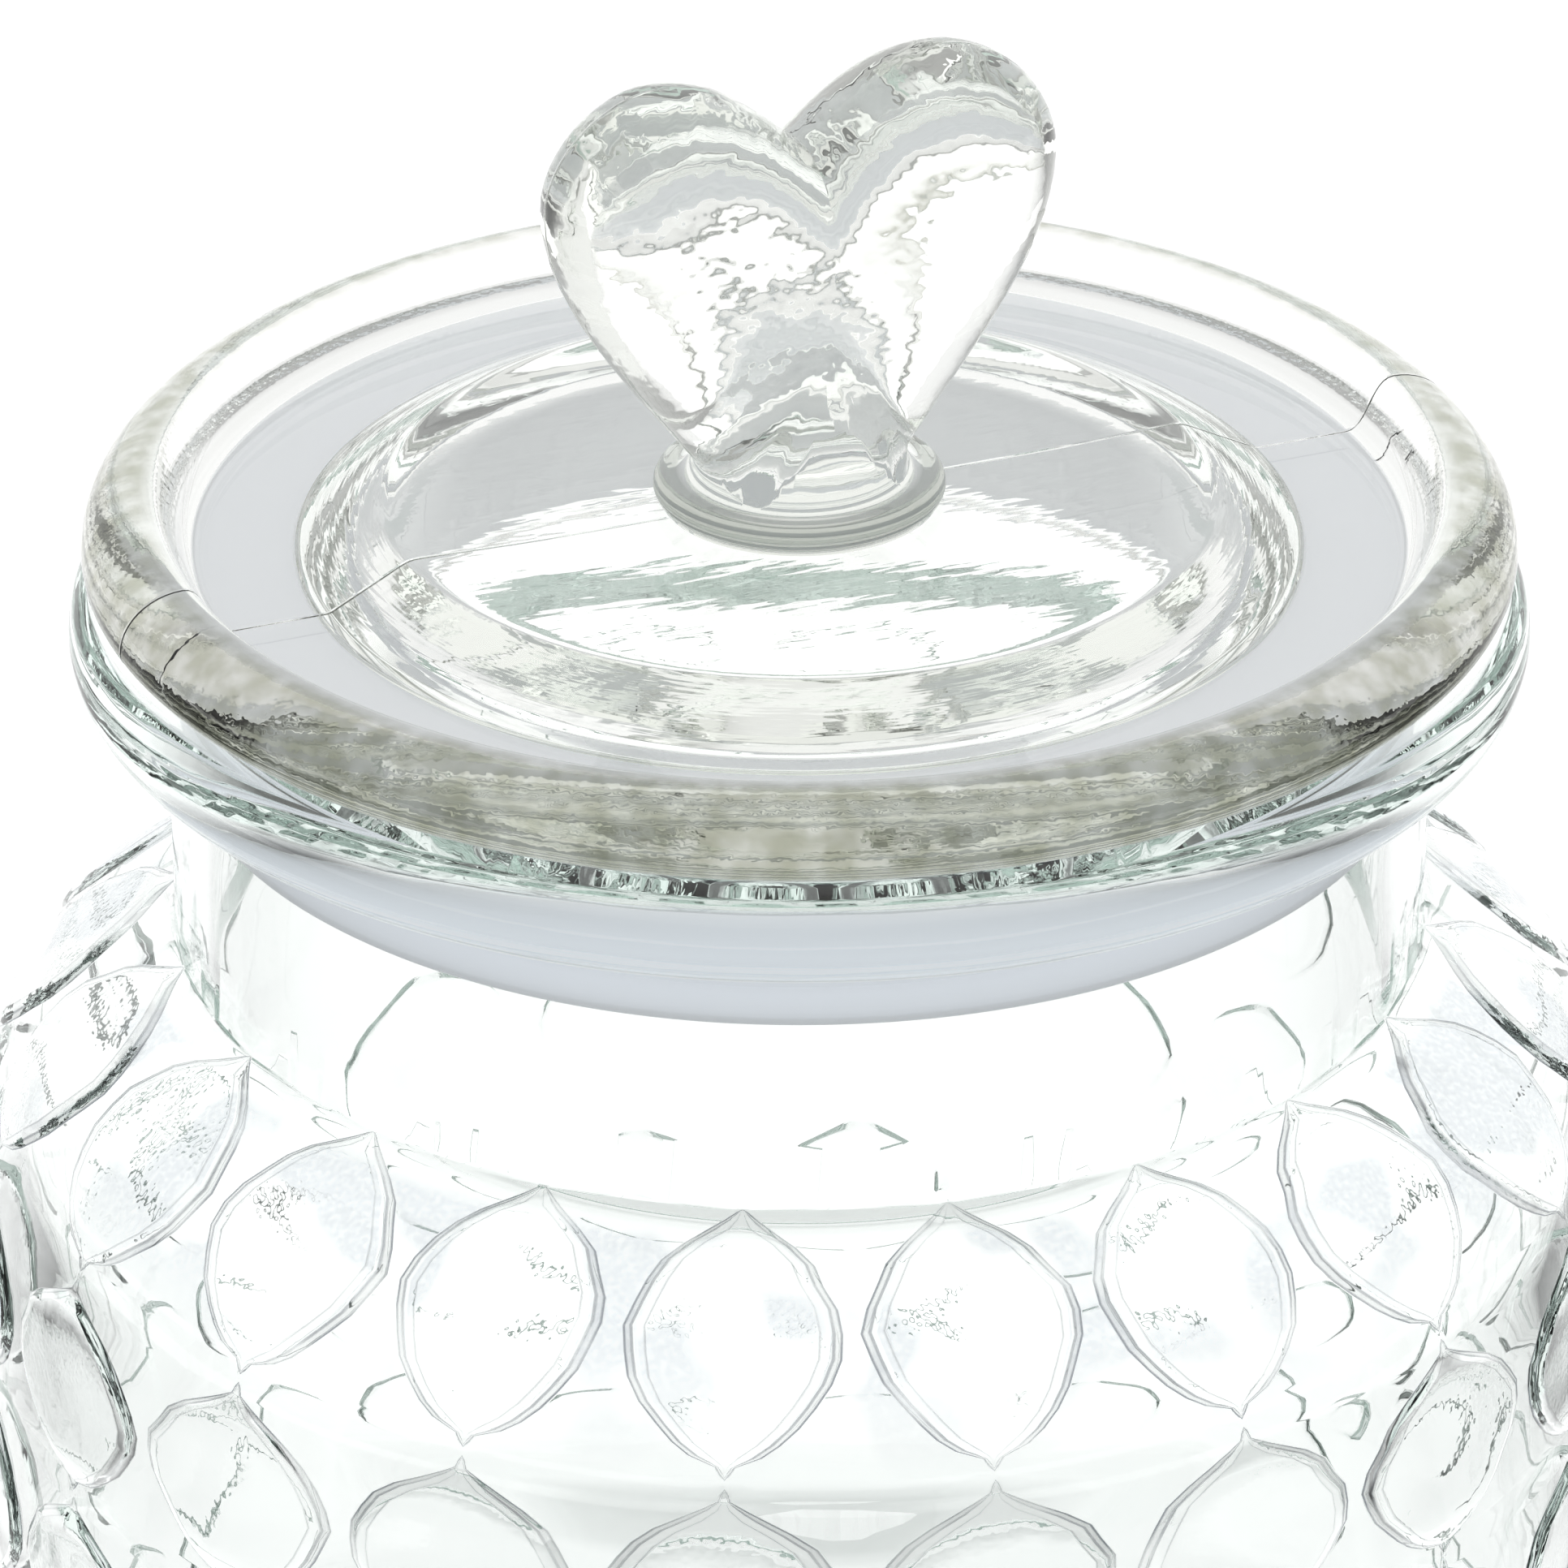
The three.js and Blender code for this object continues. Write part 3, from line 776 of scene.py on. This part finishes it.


# painted shade: how dark the painted edge lines are over the sides of a leaf, drawn as a ramp
def edgeRamp(tree, side, stops):
    low, high = leaves["sides"][0], leaves["sides"][-1]
    spread = addNode(tree, "ShaderNodeMapRange")
    feed(tree, spread, "Value", side)
    feed(tree, spread, "From Min", low)
    feed(tree, spread, "From Max", high)
    ramp = addNode(tree, "ShaderNodeValToRGB")
    for end in ramp.color_ramp.elements:
        end.color = (0, 0, 0, 1)
    for place, strength in stops:
        stop = ramp.color_ramp.elements.new((place - low) / (high - low))
        stop.color = (strength, strength, strength, 1)
    tree.links.new(spread.outputs["Result"], ramp.inputs["Fac"])
    return ramp.outputs["Color"]


def makeBodyFinish():
    look = bodyFinish
    material, tree, shader, coords, nearSide = clearGlass("bodyGlass", look)
    spot = useGroup(tree, roundCoords, vector=coords)
    rings = useGroup(tree, turnedLines, heading=spot["Heading"], along=spot["Height"],
                     lines=look["beadScale"], wander=look["beadWander"])["Height"]
    fine = grain(tree, coords, look["hammerScale"])
    broken = above(tree, grain(tree, coords, look["breakScale"]), look["breakRange"], look["breakResult"])
    # painted shade: dark lines on the near side of the leaves' edges, broken up by noise, stand for the dark
    # refractions seen there
    lines = times(tree, edgeRamp(tree, zone(tree, "leafSide"), look["edgeLines"]), broken, nearSide)
    # painted shade: grey patches on the near side of the panels below the neck stand for dark things seen
    # through the glass
    lift = addNode(tree, "ShaderNodeCombineXYZ")  # the panels take another part of the noise than the valleys
    feed(tree, lift, "Z", calc(tree, "MULTIPLY", zone(tree, "leafPanel"), look["patchShift"]))
    place = vectorCalc(tree, "ADD", coords, lift.outputs[0])
    paintedShadePatches = above(tree, grain(tree, place, look["patchScale"], look["patchDetail"]), look["patchRange"])
    paintedShadePatches = times(tree, paintedShadePatches, zone(tree, "paintedShadeZone"), above(tree, fine, look["patchGrain"]), nearSide)
    shade = tinted(tree, look["tint"], look["paintedShadeTint"], paintedShadePatches)
    tree.links.new(tinted(tree, shade, look["paintedEdgeShade"], lines), shader.inputs["Base Color"])
    relief(tree, shader, [
        (look["beadLines"], rings, zone(tree, "beadZone")),
        (look["hammer"], fine, zone(tree, "hammerZone")),
        (look["waves"], grain(tree, coords, look["waveScale"])),
    ])
    return material


# lid glass: depths of patterns in micrometres, noise scales per metre, the seam's width in millimetres, and
# colours of the painted shade on the rim and the collar
lidFinish = {
    "tint": (0.985, 0.99, 0.98, 1), "roughness": 0.0, "ior": 1.52, "depthTint": (0.84, 0.88, 0.78, 1),
    "depth": 7.0, "ripple": 26, "rippleTurn": 22.0, "rippleScale": (170, 620, 300), "rippleDetail": 2.0,
    "slopeLines": 28, "slopeScale": 2600.0, "slopeWander": 5.0, "pebble": 16, "pebbleScale": 1300.0,
    "heartWaves": 50, "waveScale": 160.0, "heartJags": 40, "jagScale": 700.0, "seam": 120, "seamWidth": 0.21,
    "paintedRimShade": (0.16, 0.165, 0.09, 1), "mottleScale": 420.0, "mottleDetail": 2.0, "mottleRange": (0.2, 0.7),
    "mottleResult": (0.45, 0.9), "paintedCollarShade": (0.36, 0.38, 0.35, 1),
}


def makeLidFinish():
    look = lidFinish
    material, tree, shader, coords, nearSide = clearGlass("lidGlass", look)
    spot = useGroup(tree, roundCoords, vector=coords)
    lines = useGroup(tree, turnedLines, heading=spot["Heading"], along=spot["Radius"],
                     lines=look["slopeScale"], wander=look["slopeWander"])["Height"]
    flow = addNode(tree, "ShaderNodeMapping")
    feed(tree, flow, "Vector", coords)
    feed(tree, flow, "Rotation", (0, 0, math.radians(look["rippleTurn"])))
    feed(tree, flow, "Scale", look["rippleScale"])
    across = addNode(tree, "ShaderNodeSeparateXYZ")
    feed(tree, across, 0, coords)
    fromSeam = calc(tree, "ABSOLUTE", across.outputs["Y"])
    seam = opposite(tree, above(tree, fromSeam, (0.0, look["seamWidth"] * mm)))
    mottle = grain(tree, coords, look["mottleScale"], look["mottleDetail"])
    mottle = above(tree, mottle, look["mottleRange"], look["mottleResult"])
    ripple = grain(tree, flow.outputs["Vector"], scale=1.0, detail=look["rippleDetail"])
    rim, knob = zone(tree, "rimZone"), zone(tree, "knobZone")
    # painted shade: a dark grey ring on the near side of the collar, in the crease round the heart's foot
    shade = tinted(tree, look["tint"], look["paintedCollarShade"], times(tree, zone(tree, "collarZone"), nearSide))
    # painted reflection: a dark mottled olive band on the near side of the rim, for the dark surroundings
    # that the thick rim reflects
    shade = tinted(tree, shade, look["paintedRimShade"], times(tree, rim, nearSide, mottle))
    tree.links.new(shade, shader.inputs["Base Color"])
    relief(tree, shader, [
        (look["ripple"], ripple, zone(tree, "discZone")),
        (look["slopeLines"], lines, zone(tree, "slopeZone")),
        (look["pebble"], grain(tree, coords, look["pebbleScale"], detail=1.0), rim),
        (look["heartWaves"], grain(tree, coords, look["waveScale"]), knob),
        (look["heartJags"], grain(tree, coords, look["jagScale"], detail=1.0), knob),
        (look["seam"], seam, zone(tree, "seamZone")),
    ])
    return material


# milky seal: a pale plastic that lets some light through; painted light: a slight glow stands for this and
# for the room's light that the glass keeps from the seal, and its colour is darker than the plastic's to make
# up for the glow
sealFinish = {
    "colour": (0.64, 0.665, 0.70, 1), "roughness": 0.42, "grain": 6, "grainScale": 1500.0,
    "paintedGlowColour": (0.82, 0.845, 0.88, 1), "paintedGlow": 0.45,
}


def makeSealFinish():
    look = sealFinish
    material, tree, shader, output = newMaterial("milkySeal", look["colour"], look["roughness"])
    # painted light: the seal glows though it is no lamp
    shader.inputs["Emission Color"].default_value = look["paintedGlowColour"]
    shader.inputs["Emission Strength"].default_value = look["paintedGlow"]
    material.cycles.emission_sampling = "NONE"
    relief(tree, shader, [(look["grain"], grain(tree, objectCoords(tree), look["grainScale"]))])
    return material


def dress(piece, material):
    piece.data.materials.clear()
    piece.data.materials.append(material)


dress(jarGlass, makeBodyFinish())
dress(lidGlass, makeLidFinish())
dress(sealRing, makeSealFinish())
print("materials set")


# studio: a white floor in metres, a soft bright room, and a dark board that only the glass sees,
# in millimetres and degrees
studio = {
    "floorSize": 6.0, "floorColour": (0.95, 0.95, 0.95, 1), "floorRoughness": 0.9, "floorGlow": 0.55,
    "white": (1, 1, 1, 1), "roomBack": 1.0, "backRange": (0.35, 0.75), "roomSides": 0.42, "roomTop": 0.9,
    "topRange": (0.55, 0.9), "boardLevel": 0.4, "boardInner": 105.0, "boardOuter": 900.0, "boardSpan": 290.0,
    "boardFade": 45.0, "boardSoft": 60.0, "boardSteps": 72, "boardColour": (0.16, 0.16, 0.16, 1),
    "boardRoughness": 0.8, "bounces": 20, "diffuseBounces": 1,
}


def makeFloor():
    bpy.ops.object.select_all(action="DESELECT")
    bpy.ops.mesh.primitive_plane_add(size=studio["floorSize"], location=(0, 0, 0))
    floor = bpy.context.object
    floor.name = "studioFloor"
    material, tree, shader, output = newMaterial("paleFloor", studio["floorColour"], studio["floorRoughness"])
    shader.inputs["Emission Color"].default_value = studio["white"]
    shader.inputs["Emission Strength"].default_value = studio["floorGlow"]
    dress(floor, material)


# a flat ring sector in front of the jar, which fades out at its inner edge and at both ends
def makeBoard():
    board = startPoint("darkBoard", 0, studio["boardLevel"])
    bpy.ops.object.mode_set(mode="OBJECT")
    inner, soft, span = studio["boardInner"], studio["boardSoft"], studio["boardSpan"]
    front = math.radians(view["azimuth"] - 90)
    turn = front - math.radians(span / 2)
    board.data.vertices[0].co.x = inner * mm * math.cos(turn)
    board.data.vertices[0].co.y = inner * mm * math.sin(turn)
    bpy.ops.object.mode_set(mode="EDIT")
    bpy.ops.mesh.select_all(action="SELECT")
    for reach in (soft * mm, (studio["boardOuter"] - inner - soft) * mm):
        step = (reach * math.cos(turn), reach * math.sin(turn), 0)
        bpy.ops.mesh.extrude_vertices_move(TRANSFORM_OT_translate={"value": step})
    bpy.ops.mesh.select_all(action="SELECT")
    bpy.ops.mesh.spin(steps=studio["boardSteps"], angle=-math.radians(span), center=(0, 0, 0), axis=(0, 0, 1))
    bpy.ops.object.mode_set(mode="OBJECT")
    shade = []
    for x, y, z in pointsOf(board):
        away = abs(math.degrees(math.remainder(math.atan2(y, x) - front, 2 * math.pi)))
        beyond = math.hypot(x, y) > inner + soft / 2
        shade.append(float(eased(span / 2 - away, 0, studio["boardFade"])) * beyond)
    paintZone(board, "boardShade", shade)
    material, tree, shader, output = newMaterial("darkBoard", studio["boardColour"], studio["boardRoughness"])
    tree.links.new(zone(tree, "boardShade"), shader.inputs["Alpha"])
    dress(board, material)
    board.visible_camera = False
    board.visible_diffuse = False
    board.visible_shadow = False


# light from behind the jar and from above, with darker sides
def makeRoom():
    world = bpy.data.worlds.new("studioRoom")
    bpy.context.scene.world = world
    world.use_nodes = True
    tree = world.node_tree
    a = math.radians(view["azimuth"])
    heading = addNode(tree, "ShaderNodeTexCoord").outputs["Generated"]
    facing = vectorCalc(tree, "DOT_PRODUCT", heading, (-math.sin(a), math.cos(a), 0), outlet=1)
    height = vectorCalc(tree, "DOT_PRODUCT", heading, (0, 0, 1), outlet=1)
    level = above(tree, facing, studio["backRange"], (studio["roomSides"], studio["roomBack"]))
    level = above(tree, height, studio["topRange"], (level, studio["roomTop"]))
    tree.nodes["Background"].inputs["Color"].default_value = studio["white"]
    tree.links.new(level, tree.nodes["Background"].inputs["Strength"])
    scene = bpy.context.scene
    scene.view_settings.view_transform = "Standard"
    for kind in ("max_bounces", "transmission_bounces", "glossy_bounces"):
        setattr(scene.cycles, kind, studio["bounces"])
    scene.cycles.diffuse_bounces = studio["diffuseBounces"]


makeFloor()
makeBoard()
makeRoom()
print("studio set")
